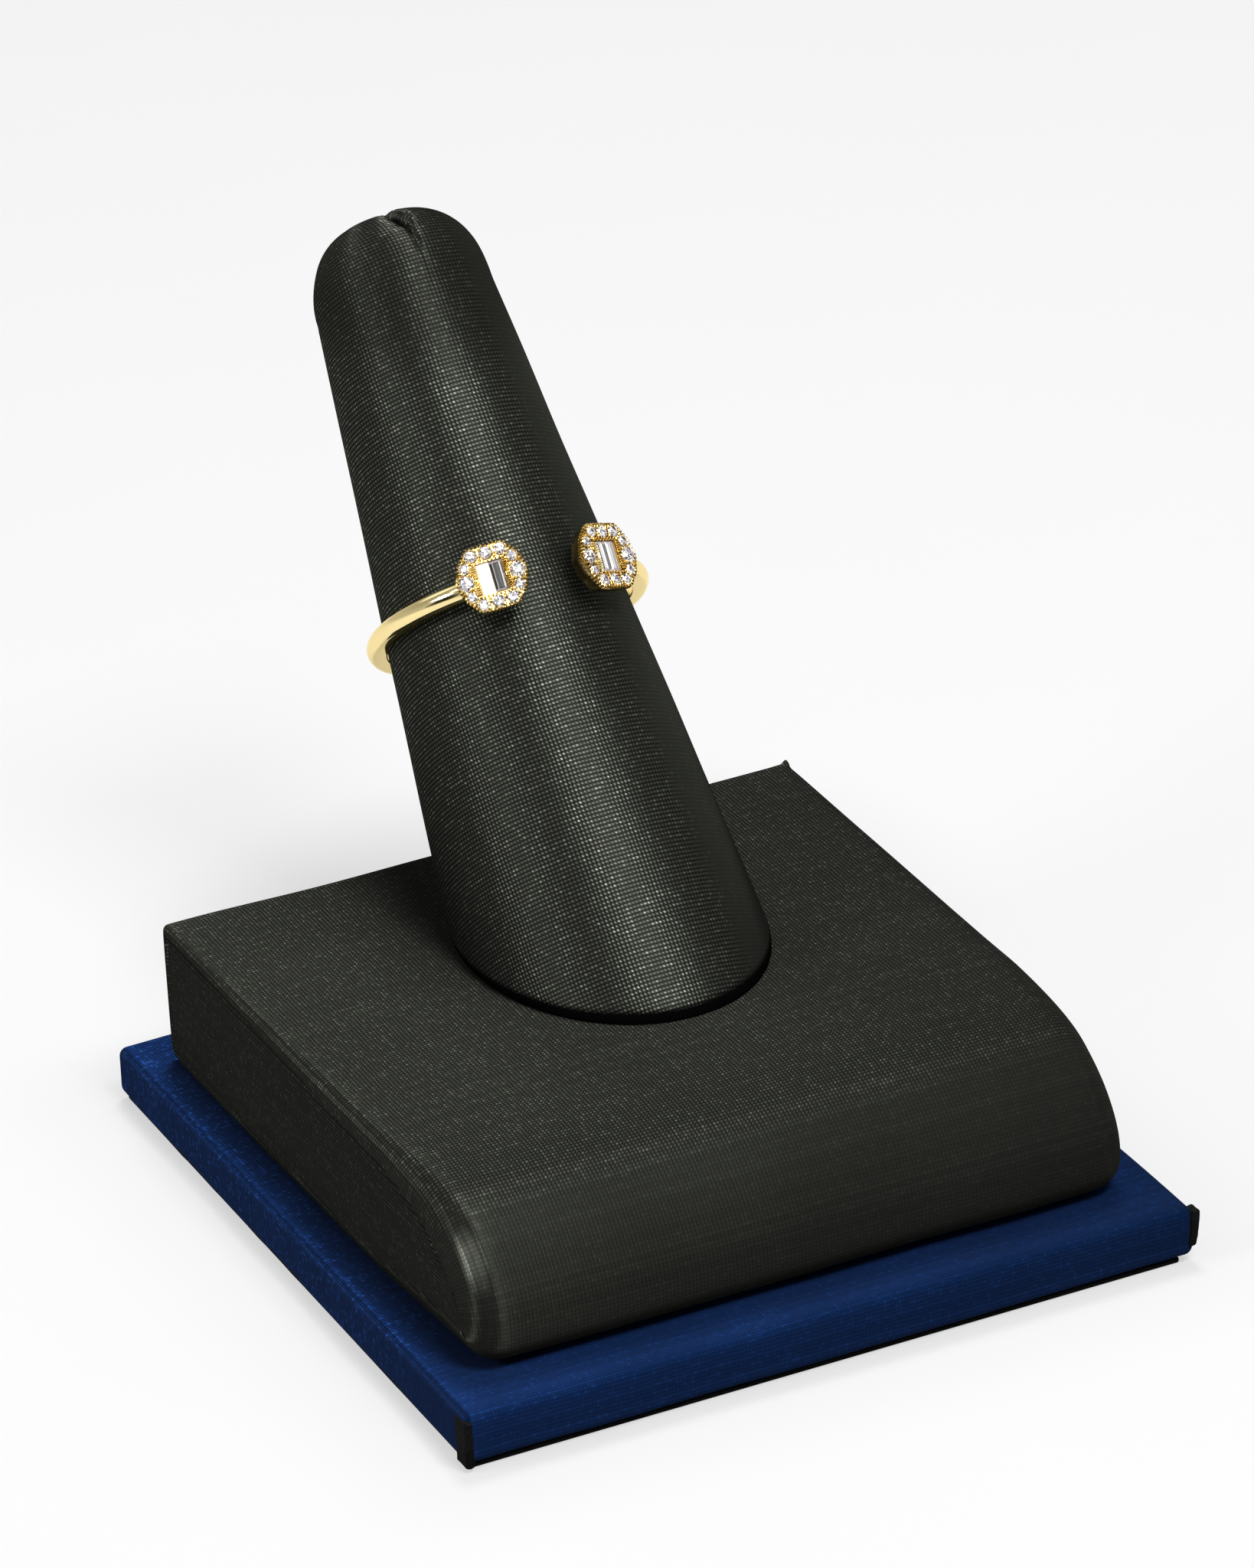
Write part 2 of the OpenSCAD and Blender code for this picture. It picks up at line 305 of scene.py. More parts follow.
def float_crests(n, u, v, dash):
    """How bright a thread float is across its cell, and in all. A larger dash shortens its bright middle."""
    along = n.subtract(n.math("FRACT", v), 0.5)
    # The floats lie slightly aslant in their cells
    across = n.add(n.subtract(n.math("FRACT", u), 0.5), n.multiply(along, 0.3))
    crest_u = n.math("POWER", n.math("COSINE", n.multiply(across, math.pi), clamp=True), dash[0])
    crest_v = n.math("POWER", n.math("COSINE", n.multiply(along, math.pi), clamp=True), dash[1])
    # Between its bright middles a float stays dimly lit, so the floats join into rows
    lit = n.add(FLOAT_DIM, n.multiply(crest_u, 1.0 - FLOAT_DIM))
    return crest_u, n.multiply(crest_v, lit)


def satin_share(n, y, z, facing_x, calm, calm_sides, ends):
    """How far the net runs together into smooth satin."""
    smooth = n.ramp(y, FRONT_BEND[0] * MM, FRONT_BEND[1] * MM, calm[1], calm[0])
    smooth = n.math("MAXIMUM", smooth, n.ramp(facing_x, 0.34, 0.56, 0.0, calm_sides[1]))
    smooth = n.math("MAXIMUM", smooth, n.ramp(facing_x, -0.9, -0.5, calm_sides[0], 0.0))
    if ends is not None:
        smooth = n.math("MAXIMUM", smooth, n.ramp(z, ends[2] * MM, ends[3] * MM, 0.0, 0.2))
    return smooth


def uneven_light(n, obj, column, row, lively, streak):
    """A few floats shine out, some rows are brighter, and the whole is faintly blotched."""
    chance = n.chance("2D", Vector=n.join(column, row))["Value"]
    line = n.chance("1D", W=row)["Value"]
    blotch = n.noise(obj, 130.0, 3.0)["Fac"]
    shining = n.multiply(n.multiply(n.math("POWER", chance, 6.0), 2.5), lively)
    uneven = n.add(n.subtract(1.0, n.multiply(lively, 0.36)), shining)
    uneven = n.multiply(uneven, n.add(1.0 - streak, n.multiply(line, 2.0 * streak)))
    return n.multiply(uneven, n.ramp(blotch, 0.3, 0.7, 0.94, 1.06))


def polished(n, obj, share, middle, reach):
    """More of the gloss near one place, where the cloth is drawn tight."""
    away = n.vector("SUBTRACT", obj, tuple(c * MM for c in middle))
    away = n.vector("MULTIPLY", away, tuple(1 / (c * MM) for c in reach))
    return n.multiply(share, n.ramp(n.vector("LENGTH", away), 0.1, 1.0, POLISH_GAIN, 1.0))


def cloth(name, ground, thread, glint, rough, tint, dash, spark, bump=0.25, streak=0.0, calm=(0.0, 0.0),
          calm_sides=(0.0, 0.0), flat_front=PLAIN_SHINE, flat_top=1.0, stretch=0.6, sheen=0.0, ends=None,
          polish=None):
    """Plain-woven cloth, a square net of shiny thread floats of uneven brightness on a dark ground.

    ground and thread are the greys of the two, glint the share of gloss, spark how much the floats differ
    and streak how much the rows do. calm is how far the net runs together into smooth satin, behind and in
    front of the piece's rounded front, and calm_sides the same where the cloth faces left and right.
    flat_front and flat_top are the shares of the satin light left where it faces the front and straight up.
    ends are four heights, between which the colour turns from black at the foot and the shine comes up, and
    the shine dies down again at the tip. polish is the middle and reach of a place where the tight cloth
    shines more.
    """
    material, n = new_material(name)
    u, v, _ = n.split(n.new("ShaderNodeUVMap", uv_map="thread").outputs[0])
    obj = n.coordinates()
    _, y, z = n.split(obj)
    wander_u, wander_v, _ = n.split(n.noise(obj, 200.0, 2.0)["Color"])
    u = n.add(n.math("DIVIDE", u, NET_PITCH[0]), n.multiply(wander_u, 0.7))
    v = n.add(n.math("DIVIDE", v, NET_PITCH[1]), n.multiply(wander_v, 0.7))
    facing_x, facing_y, facing_z = n.split(n.new("ShaderNodeNewGeometry").outputs["True Normal"])
    smooth = satin_share(n, y, z, facing_x, calm, calm_sides, ends)
    woven = n.subtract(1.0, smooth)
    crest_u, crest = float_crests(n, u, v, dash)
    crest = n.add(n.multiply(crest, woven), n.multiply(smooth, SATIN_LIGHT))
    column, row = n.math("FLOOR", u), n.math("FLOOR", v)
    shine = n.multiply(crest, uneven_light(n, obj, column, row, n.multiply(woven, spark), streak))
    colour = n.mix(shine, rgba(*(ground * c for c in tint)), rgba(*(thread * c for c in tint)))
    # The floats are rounded across and lie flat along, so the satin light spreads sideways
    relief = n.subtract(bump, n.multiply(smooth, 0.9 * bump))
    height = n.new("ShaderNodeBump", {"Strength": relief, "Distance": 0.00006, "Height": crest_u}).outputs[0]
    shine = n.multiply(shine, n.ramp(facing_y, -0.8, -0.42, flat_front, PLAIN_SHINE))
    shine = n.multiply(shine, n.ramp(facing_z, 0.9, 0.992, 1.0, flat_top))
    share = n.multiply(n.add(shine, GROUND_SHINE), glint, clamp=True)
    if polish is not None:
        share = polished(n, obj, share, *polish)
    if ends is not None:
        # Near the foot the colour turns black and the gloss fades out
        above_foot = n.ramp(z, ends[0] * MM, ends[1] * MM)
        colour = n.mix(above_foot, rgba(*FOOT_BLACK), colour)
        tip = n.ramp(z, ends[2] * MM, ends[3] * MM, 1.0, 0.45)
        share = n.multiply(share, n.multiply(above_foot, tip))
    fibre = n.new("ShaderNodeBsdfPrincipled", {
        "Base Color": colour, "Roughness": 0.9, "Normal": height, "Specular IOR Level": 0.0,
        "Sheen Weight": sheen, "Sheen Roughness": 0.6, "Sheen Tint": rgba(*(0.5 + 0.5 * c for c in tint))})
    tangent = n.new("ShaderNodeTangent", direction_type="UV_MAP", uv_map="thread").outputs[0]
    gloss = n.new("ShaderNodeBsdfAnisotropic", {
        "Color": rgba(*tint), "Roughness": rough, "Anisotropy": stretch, "Normal": height,
        "Tangent": tangent})
    finish_material(n, n.new("ShaderNodeMixShader", {0: share, 1: fibre.outputs[0], 2: gloss.outputs[0]}))
    return material


def felt(name, dark, light):
    """Short black fuzz."""
    material, n = new_material(name)
    obj = n.coordinates()
    fuzz = n.noise(obj, 4200.0, 4.0, Roughness=0.7)["Fac"]
    patch = n.add(n.noise(obj, 500.0, 3.0)["Fac"], 0.5)
    colour = n.mix(n.ramp(n.multiply(fuzz, patch), 0.3, 0.75), rgba(*dark), rgba(*light))
    bump = n.new("ShaderNodeBump", {"Strength": 0.8, "Distance": 0.0001, "Height": fuzz})
    finish_material(n, n.new("ShaderNodeBsdfPrincipled", {
        "Base Color": colour, "Roughness": 0.95, "Normal": bump.outputs[0], "Specular IOR Level": 0.05}))
    return material


def gold(name, base, roughness, grain):
    """Polished yellow gold with faint polishing marks and a slightly uneven colour."""
    material, n = new_material(name)
    obj = n.coordinates()
    cloud = n.noise(obj, 700.0, 3.0)["Fac"]
    drawn_out = n.new("ShaderNodeMapping", {"Vector": obj, "Scale": (1.0, 6.0, 2.0)}).outputs[0]
    scratch = n.noise(drawn_out, 2600.0, 5.0, Roughness=0.65)["Fac"]
    colour = n.mix(cloud, rgba(*base), rgba(*(c * 0.94 for c in base)))
    bump = n.new("ShaderNodeBump", {"Strength": grain, "Distance": 0.00002, "Height": scratch})
    rough = n.add(roughness, n.multiply(n.multiply(cloud, scratch), 0.08))
    finish_material(n, n.new("ShaderNodeBsdfPrincipled", {
        "Base Color": colour, "Metallic": 1.0, "Roughness": rough, "Normal": bump.outputs[0],
        "Specular Tint": rgba(1.0, 0.93, 0.75)}))
    return material


def diamond(name, sparkle):
    """Brilliant-cut stone, its sparkle cells to the millimetre each showing another part of the room.

    Some cells' mirror is tinted dark and some grey, as painted dark reflections, and most send the light back
    white.
    """
    dark_grey, violet_grey, white = rgba(0.09, 0.09, 0.10), rgba(0.52, 0.46, 0.55), rgba(1.0, 0.98, 0.97)
    material, n = new_material(name)
    normal = n.new("ShaderNodeNewGeometry").outputs["True Normal"]
    obj = n.coordinates()
    cells = n.new("ShaderNodeTexVoronoi", {"Vector": obj, "Scale": sparkle / MM}).outputs["Color"]
    facet = n.chance("3D", Vector=n.vector("ADD", normal, cells))
    swing = n.vector("MULTIPLY", n.vector("SUBTRACT", facet["Color"], (0.5, 0.5, 0.5)), (0.9, 0.9, 0.9))
    leaning = n.vector("NORMALIZE", n.vector("ADD", normal, swing))
    middle, bright = n.ramp(facet["Value"], 0.24, 0.32), n.ramp(facet["Value"], 0.55, 0.65)
    # Painted reflection: each cell's mirror is tinted dark, violet-grey or white
    grey = n.mix(bright, n.mix(middle, dark_grey, violet_grey), white)
    mirror = n.new("ShaderNodeBsdfAnisotropic", {"Color": grey, "Roughness": 0.02, "Normal": leaning})
    glass = n.new("ShaderNodeBsdfPrincipled", {
        "Base Color": rgba(1, 1, 1), "Roughness": 0.0, "IOR": 2.42, "Transmission Weight": 1.0})
    clear = n.new("ShaderNodeMixShader", {0: 0.6, 1: glass.outputs[0], 2: mirror.outputs[0]})
    fire_colour = n.mix(bright, rgba(0.9, 0.82, 0.93), rgba(1.0, 0.97, 0.94))
    fire = n.new("ShaderNodeBsdfDiffuse", {"Color": fire_colour})
    given_back = n.add(n.multiply(middle, 0.07), n.multiply(bright, 0.20))
    finish_material(n, n.new("ShaderNodeMixShader", {0: given_back, 1: clear.outputs[0], 2: fire.outputs[0]}))
    return material


def bar_stone(name, side, middle, gloss, ends, painted_bands):
    """Step-cut bar of a setting, with the reflections of its long steps and table painted as grey bands along
    it.

    middle is the bar's place across the setting, gloss how much it mirrors, and ends the painted grey of its
    short end steps. painted_bands holds places across the bar in millimetres from its middle, each with the
    painted grey there.
    """
    material, n = new_material(name)
    obj = n.coordinates()
    head = on_head(side)

    def along_axis(column, start):
        axis = head[:3, column]
        dot = n.vector("DOT_PRODUCT", obj, tuple(axis / MM))
        return n.subtract(dot, float(head[:3, 3] @ axis) + start)

    across, along = along_axis(0, middle), along_axis(1, 0.0)
    ripple = n.noise(n.join(n.multiply(across, 9.0), along), 1.3, 2.0)["Fac"]
    across = n.add(across, n.multiply(n.subtract(ripple, 0.5), 0.05))
    # Painted reflection: bands of diffuse grey across the bar for its steps and table
    band = n.new("ShaderNodeValToRGB", {"Fac": n.add(across, 0.5, clamp=True)})
    stops = band.color_ramp.elements
    stops.remove(stops[1])
    for k, (place_across, grey) in enumerate(painted_bands):
        stop = stops.new(place_across + 0.5) if k else stops[0]
        stop.position = place_across + 0.5
        stop.color = rgba(grey, grey * 0.97, grey * 0.95)
    # The bar's two short steps lie a millimetre from its middle
    end = n.ramp(n.math("ABSOLUTE", along), 0.97, 1.0)
    colour = n.mix(end, band.outputs["Color"], rgba(ends, ends * 0.88, ends * 0.93))
    light = n.new("ShaderNodeBsdfDiffuse", {"Color": colour})
    mirror = n.new("ShaderNodeBsdfAnisotropic", {"Color": rgba(1, 1, 1), "Roughness": 0.03})
    finish_material(n, n.new("ShaderNodeMixShader", {0: gloss, 1: light.outputs[0], 2: mirror.outputs[0]}))
    return material


BLACK_TINT, BLUE_TINT = (0.95, 1.0, 0.84), (0.06, 0.26, 1.0)
CLOTH_FINGER = cloth("finger_cloth", 0.0035, 0.014, glint=0.15, rough=0.56, tint=BLACK_TINT, dash=(3.6, 4.4),
                     spark=0.7, calm_sides=(0.0, 0.85), stretch=0.68, ends=(16.45, 16.95, 51.0, 56.0))
CLOTH_PAD = cloth("pad_cloth", 0.0035, 0.014, glint=0.05, rough=0.52, tint=BLACK_TINT, dash=(3.2, 4.2),
                  spark=0.9, streak=0.2, calm=(0.2, 0.8), calm_sides=(0.45, 0.7), flat_front=0.46,
                  flat_top=0.38, stretch=0.75, sheen=0.004, polish=((-24.3, -24.2, 12.4), (0.9, 2.9, 3.4)))
CLOTH_BLUE = cloth("blue_cloth", 0.006, 0.04, glint=0.08, rough=0.55, tint=BLUE_TINT, dash=(0.8, 1.8),
                   spark=1.6, bump=0.1, streak=0.2, calm=(0.6, 0.85), sheen=0.02)
FELT = felt("black_felt", (0.001, 0.001, 0.001), (0.004, 0.004, 0.004))
GOLD_BAND = gold("band_gold", (1.0, 0.82, 0.40), 0.06, 0.1)
# The settings' gold is a darker, more orange copy of the band's gold: painted shade and gold-on-gold
# reflection among the stones
GOLD_HEAD_PAINTED_SHADE = gold("setting_gold_painted_shade", (0.82, 0.59, 0.20), 0.12, 0.25)
# The walls' gold is darkened as painted dark reflection and shade of the cloth below them
GOLD_WALL_PAINTED_DARK = gold("setting_wall_gold_painted_dark", (0.30, 0.22, 0.09), 0.16, 0.2)
STONE = diamond("clear_stone", 4.5)
# Each bar's greys are painted reflections of its steps and table
BARS = {
    "baguette_left_1": bar_stone("clear_bar_left_1", -1, -0.51, 0.15, 0.85, [
        (-0.5, 0.9), (0.3, 0.8), (0.4, 0.5), (0.5, 0.6)]),
    "baguette_left_2": bar_stone("clear_bar_left_2", -1, 0.51, 0.02, 0.2, [
        (-0.5, 0.05), (-0.43, 0.006), (-0.32, 0.006), (-0.29, 0.22), (-0.24, 0.18), (-0.21, 0.01),
        (-0.03, 0.01), (0.02, 0.03), (0.08, 0.035), (0.11, 0.008), (0.19, 0.012), (0.22, 0.4), (0.28, 0.35),
        (0.34, 0.12), (0.5, 0.15)]),
    "baguette_right_1": bar_stone("clear_bar_right_1", 1, -0.51, 0.03, 0.25, [
        (-0.5, 0.12), (-0.38, 0.05), (-0.30, 0.16), (-0.22, 0.04), (-0.12, 0.08), (-0.04, 0.45), (0.04, 0.2),
        (0.10, 0.48), (0.30, 0.5), (0.36, 0.15), (0.5, 0.12)]),
    "baguette_right_2": bar_stone("clear_bar_right_2", 1, 0.51, 0.03, 0.25, [
        (-0.5, 0.1), (-0.36, 0.05), (-0.22, 0.09), (-0.16, 0.2), (-0.04, 0.4), (0.04, 0.14), (0.20, 0.2),
        (0.28, 0.42), (0.34, 0.2), (0.42, 0.5), (0.5, 0.3)]),
}


# Camera, fitted to the photograph's board, pad and cone
AZIMUTH, ELEVATION, ROLL, DISTANCE = -24.59, 26.71, -2.89, 656.3
TARGET = np.array([26.60, 57.78, 0.0])
LENS, SENSOR = 189.63, 36.0


def make_camera():
    a, e, roll = (math.radians(x) for x in (AZIMUTH, ELEVATION, ROLL))
    back = np.array([math.sin(a) * math.cos(e), -math.cos(a) * math.cos(e), math.sin(e)])
    right = np.array([math.cos(a), math.sin(a), 0.0])
    up = np.cross(back, right)
    x_axis = right * math.cos(roll) + up * math.sin(roll)
    y_axis = -right * math.sin(roll) + up * math.cos(roll)
    position = (TARGET + back * DISTANCE) * MM
    data = bpy.data.cameras.new("camera")
    data.lens, data.sensor_width, data.sensor_fit = LENS, SENSOR, "AUTO"
    data.clip_start, data.clip_end = 0.01, 20.0
    camera = bpy.data.objects.new("camera", data)
    scene.collection.objects.link(camera)
    camera.matrix_world = Matrix([
        [x_axis[k], y_axis[k], back[k], position[k]] for k in range(3)] + [[0, 0, 0, 1]])
    scene.camera = camera


make_camera()


# Light and floor
def toward(azimuth, elevation):
    """Unit vector, azimuth from the front (-Y) to the right (+X)."""
    a, e = math.radians(azimuth), math.radians(elevation)
    return math.sin(a) * math.cos(e), -math.cos(a) * math.cos(e), math.sin(e)


# Each lamp and each dark place of the room: azimuth, elevation, radius of its middle, of its edge, strength
LAMPS = [(0, 58, 8, 18, 1.6), (-42, 52, 7, 12, 5.0), (62, 34, 4, 7, 6.0),
         (-150, 35, 6, 14, 0.9), (18, 72, 5, 9, 5.0), (-95, 48, 4, 7, 5.0)]
DARKS = [(-27, 22, 13, 22, 0.97), (-70, 8, 8, 20, 0.97), (95, 15, 12, 40, 0.6)]


def make_world():
    """A white tent: bright near the floor, greyer above, with some lamps and dark openings."""
    world = bpy.data.worlds.new("studio")
    world.use_nodes = True
    n = Nodes(world.node_tree)
    direction = n.coordinates("Generated")

    def patch(azimuth, elevation, inner, outer):
        dot = n.vector("DOT_PRODUCT", direction, toward(azimuth, elevation))
        return n.ramp(dot, math.cos(math.radians(outer)), math.cos(math.radians(inner)))

    level = n.ramp(n.split(direction)[2], 0.05, 0.45, 0.55, 0.38)
    for azimuth, elevation, inner, outer, depth in DARKS:
        dim = n.multiply(patch(azimuth, elevation, inner, outer), depth)
        level = n.multiply(level, n.subtract(1.0, dim))
    for azimuth, elevation, inner, outer, strength in LAMPS:
        level = n.add(level, n.multiply(patch(azimuth, elevation, inner, outer), strength))
    background = n.new("ShaderNodeBackground", {"Color": rgba(1.0, 1.0, 1.0), "Strength": level})
    n.new("ShaderNodeOutputWorld", {"Surface": background.outputs[0]})
    scene.world = world


# The floor's own light, the middle and reach of the shade behind the stand, and of the shade at its foot
FLOOR_GLOW = 0.588
SHADE_MIDDLE, SHADE_REACH = (10.0, 38.0), (38.0, 32.0)
FOOT_SHADE = 12.0


def make_floor():
    """A white paper floor that glows, but less in the stand's shade behind it and along its foot."""
    half = 3000.0
    floor = make_piece("floor", [(-half, -half, 0), (half, -half, 0), (half, half, 0), (-half, half, 0)],
                       [(0, 1, 2, 3)])
    material, n = new_material("floor_white")
    obj = n.coordinates()
    tone = n.mix(n.noise(obj, 40.0, 3.0)["Fac"], rgba(0.118, 0.118, 0.119), rgba(0.122, 0.122, 0.123))
    behind = n.vector("SUBTRACT", obj, (SHADE_MIDDLE[0] * MM, SHADE_MIDDLE[1] * MM, 0.0))
    behind = n.vector("MULTIPLY", behind, (1 / (SHADE_REACH[0] * MM), 1 / (SHADE_REACH[1] * MM), 0.0))
    shade = n.ramp(n.vector("LENGTH", behind), 0.35, 1.0, 0.7, 1.0)
    past = n.vector("SUBTRACT", n.vector("ABSOLUTE", obj), (BOARD_HALF_X * MM, BOARD_HALF_Y * MM, 0.0))
    past = n.vector("LENGTH", n.vector("MAXIMUM", past))
    shade = n.multiply(shade, n.ramp(past, 0.0, FOOT_SHADE * MM, 0.93, 1.0))
    glow = n.multiply(shade, FLOOR_GLOW)
    finish_material(n, n.new("ShaderNodeBsdfPrincipled", {
        "Base Color": tone, "Roughness": 0.7, "Specular IOR Level": 0.1,
        "Emission Color": rgba(1.0, 1.0, 1.0), "Emission Strength": glow}))
    floor.data.materials.append(material)


def area_light(name, direction, distance, size, watts):
    data = bpy.data.lights.new(name, "AREA")
    data.shape, data.size, data.size_y, data.energy = "RECTANGLE", size[0], size[1], watts
    light = bpy.data.objects.new(name, data)
    scene.collection.objects.link(light)
    back = Vector(direction).normalized()
    light.location = Vector((0, 0, 0.03)) + back * distance
    light.rotation_mode = "QUATERNION"
    light.rotation_quaternion = back.to_track_quat("Z", "Y")


make_world()
make_floor()
area_light("front_softbox", toward(10, 58), 0.55, (0.20, 0.14), 4.6)
area_light("left_softbox", toward(-92, 30), 0.55, (0.14, 0.12), 2.3)
area_light("top_softbox", toward(150, 68), 0.55, (0.16, 0.16), 3.2)
scene.view_settings.view_transform = "Standard"
scene.view_settings.look = "None"


# Pad
# Where the side faces' cloth lies on the net, so that its floats don't line up with the top's
SIDE_CLOTH = (3.1, 1.7)


def pad_outline():
    """Side view of the pad as (y, z): up the back, along the top, down the round front, back underneath."""
    back_top, foot = 0.6, 1.4
    front = [(0, 15.76), (-5.7, 15.83), (-9, 15.93), (-11.6, 16.02), (-14.2, 16.02), (-16.7, 15.92),
             (-18.9, 15.68), (-20.6, 15.26), (-21.9, 14.67), (-23.0, 13.95), (-24.1, 13.12), (-24.9, 12.31),
             (-25.7, 11.34), (-26.4, 10.24), (-26.8, 9.21), (-27.05, 8.1), (-27.1, 7.0), (-27.0, 6.1),
             (-26.7, 5.4), (-26.3, 4.9), (-25.7, 4.6), (-25.0, 4.52)]
    line = [(PAD_BACK - foot - 0.3, PAD_BOTTOM)]
    line += arc((PAD_BACK - foot, PAD_BOTTOM + foot), foot, -75, 0, 6)
    line += spaced((PAD_BACK, PAD_BOTTOM + foot), (PAD_BACK, PAD_TOP - back_top), 1.0)
    line += arc((PAD_BACK - back_top, PAD_TOP - back_top), back_top, 0, 90, 7)
    line += spaced((PAD_BACK - back_top, PAD_TOP), front[0], 1.2)
    dense = [front[0]]
    for a, b in zip(front, front[1:]):
        dense += spaced(a, b, 0.6) + [b]
    line += dense
    line += spaced(front[-1], line[0], 2.5)
    points = np.array(line)
    for _ in range(4):
        points = 0.5 * points + 0.25 * (np.roll(points, 1, 0) + np.roll(points, -1, 0))
    return points


def make_pad():
    """The pad's cloth: one sheet folded over the outline and down both side faces."""
    line = pad_outline()
    ahead, behind = np.roll(line, -1, 0), np.roll(line, 1, 0)
    along = (ahead - behind) / np.linalg.norm(ahead - behind, axis=1)[:, None]
    # The outline runs anticlockwise seen from +X, so its left-hand side is inside
    inward = np.stack([-along[:, 1], along[:, 0]], 1)
    arcs = np.concatenate([[0], np.cumsum(np.linalg.norm(ahead - line, axis=1))])
    # The fold over the side is crisp at the back and soft round the front
    fold = np.interp(line[:, 0], [-22, -10, 10, 24], [2.7, 1.4, 0.8, 0.55])
    top_weight = np.clip((line[:, 1] - 12.0) / 3.0, 0, 1)
    # Each section's place across the pad, its inset from the outline, and its place on the spread-out cloth
    flat = PAD_HALF - fold
    sections = [(flat * share, 0.0 * fold, flat * share) for share in np.linspace(0, 1, 22)]
    for a in np.radians(np.linspace(0, 90, 11)[1:]):
        sections.append((flat + fold * math.sin(a), fold * (1 - math.cos(a)), flat + fold * a))
    # The side faces close along a line at mid height
    middle = np.stack([np.clip(line[:, 0], PAD_FRONT + 7, PAD_BACK - 5.2), np.full(len(line), 9.9)], 1)
    cap_shares = [0.03, 0.06, 0.1, 0.15, 0.2, 0.25, 0.3, 0.4, 0.5, 0.6, 0.7, 0.8, 0.9, 1.0]

    def one_side(sign):
        """Rows of points from the middle out over the fold and down the side, with cloth coordinates."""
        rows, uv_rows = [], []
        for x, inset, spread in sections:
            yz = line + inward * inset[:, None]
            swell = 0.05 * smooth_noise(sign * x, arcs[:-1], 5, 24)
            yz = yz - inward * (swell * (1 - inset / fold))[:, None]
            # The cloth's folded corner stands up a little at the right of the back
            peak = 0.7 * np.exp(-((line[:, 0] - PAD_BACK) ** 2 + (line[:, 1] - PAD_TOP) ** 2) / 0.3)
            yz[:, 1] += peak * np.exp(-(sign * x - PAD_HALF + 0.1) ** 2 / 0.08)
            rows.append(np.column_stack([sign * x, yz]))
            uv_rows.append(np.stack([np.append(sign * spread, sign * spread[0]), arcs], 1))
        rim = line + inward * fold[:, None]
        reach = np.linalg.norm(rim - middle, axis=1)
        for share in cap_shares:
            yz = rim + (middle - rim) * share
            depth = share * reach
            # Under the folded top edge the side cloth is drawn in along a narrow line
            dip = 0.22 * np.exp(-((depth - 0.35) / 0.28) ** 2) * top_weight
            bulge = 0.18 * math.sin(math.pi / 2 * share)
            ripple = 0.03 * smooth_noise(yz[:, 0], yz[:, 1], 11, 9) * min(1, share * 5)
            rows.append(np.column_stack([sign * (PAD_HALF - 0.12 - dip + bulge + ripple), yz]))
            uv_rows.append(None)
        return rows, uv_rows

    points, faces, uvs = [], [], []
    count = len(line)
    for sign in (1, -1):
        rows, uv_rows = one_side(sign)
        base = sum(len(p) for p in points)
        stack = np.concatenate(rows)
        points.append(stack)
        grid, corners = grid_faces(len(rows), count, True)
        for face, corner in zip(grid, corners):
            use = []
            for (j, i), k in zip(corner, face):
                if uv_rows[j] is None or uv_rows[corner[2][0]] is None:
                    use.append((stack[k][1] + SIDE_CLOTH[0], stack[k][2] + SIDE_CLOTH[1]))
                else:
                    use.append(tuple(uv_rows[j][i]))
            face = tuple(base + k for k in face)
            if sign < 0:
                face, use = face[::-1], use[::-1]
            faces.append(face)
            uvs += use
    piece = make_piece("pad_cushion", np.concatenate(points), faces, uvs, sharp=60)
    weld(piece, 0.001)
    piece.data.materials.append(CLOTH_PAD)
    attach(piece, "root")
    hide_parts("pad")


make_pad()


# Finger
def finger_columns():
    """Angles round the finger, closer together along the front and back middle lines."""
    angles, a = [], -270.0
    while a < 90 - 1e-6:
        angles.append(a)
        near = min(abs(a + 90), abs(a + 270), abs(a - 90))
        a += 1.0 if near < 16 else (1.5 if near < 30 else 2.5)
    return np.radians(angles)


